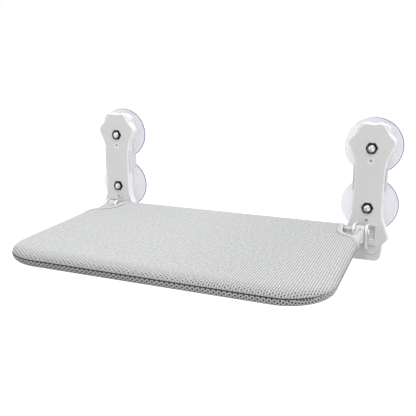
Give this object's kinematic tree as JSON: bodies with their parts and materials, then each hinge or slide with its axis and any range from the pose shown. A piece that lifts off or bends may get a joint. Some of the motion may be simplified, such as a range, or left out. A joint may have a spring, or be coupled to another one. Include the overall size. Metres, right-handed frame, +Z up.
{
  "type": "window perch",
  "caption": "Folding mesh-covered tray hinged between two bone-shaped brackets that suction cups hold on a window pane.",
  "frame": {"origin": "on the glass plane, midway between the brackets and level with the hinge pins", "axes": "+X to the right as one faces the window and along the hinge line, +Y into the glass, +Z up"},
  "size_m": [0.4672, 0.3233, 0.1965],
  "materials": {
    "shell_plastic": "fine satin, light warm grey",
    "spacer_plastic": "satin, light grey",
    "arm_plastic": "satin, off-white",
    "cup_pvc": "clear soft PVC with a faint violet tint",
    "bright_steel": "bright zinc plate",
    "black_nut": "black oxide",
    "tube_steel": "grey coated steel tube",
    "mesh_fabric": "woven polyester mesh, light grey",
    "binding_tape": "white woven tape"
  },
  "bodies": {
    "brackets": {"left_front_plate": "shell_plastic", "left_spacer_frame": "spacer_plastic", "left_spacer_base": "spacer_plastic", "left_upper_suction_cup": "cup_pvc", "left_lower_suction_cup": "cup_pvc", "left_upper_cup_bolt": "bright_steel", "left_lower_cup_bolt": "bright_steel", "left_upper_cup_nut": "black_nut", "left_lower_cup_nut": "black_nut", "left_upper_body_screw": "bright_steel", "left_lower_body_screw": "bright_steel", "left_hinge_pin": "bright_steel", "left_pin_keeper": "bright_steel", "right_front_plate": "shell_plastic", "right_spacer_frame": "spacer_plastic", "right_spacer_base": "spacer_plastic", "right_upper_suction_cup": "cup_pvc", "right_lower_suction_cup": "cup_pvc", "right_upper_cup_bolt": "bright_steel", "right_lower_cup_bolt": "bright_steel", "right_upper_cup_nut": "black_nut", "right_lower_cup_nut": "black_nut", "right_upper_body_screw": "bright_steel", "right_lower_body_screw": "bright_steel", "right_hinge_pin": "bright_steel", "right_pin_keeper": "bright_steel"},
    "tray": {"left_corner_arm": "arm_plastic", "left_notch_binding": "binding_tape", "right_corner_arm": "arm_plastic", "right_notch_binding": "binding_tape", "tray_frame_tube": "tube_steel", "tray_cross_tube": "tube_steel", "mesh_cover": "mesh_fabric"}
  },
  "joints": [
    {"name": "tray_fold", "type": "hinge", "parent": "brackets", "child": "tray", "pos_m": [0, -0.0496, 0], "axis": [-1, 0, 0], "range_deg": [0, 90]}
  ]
}
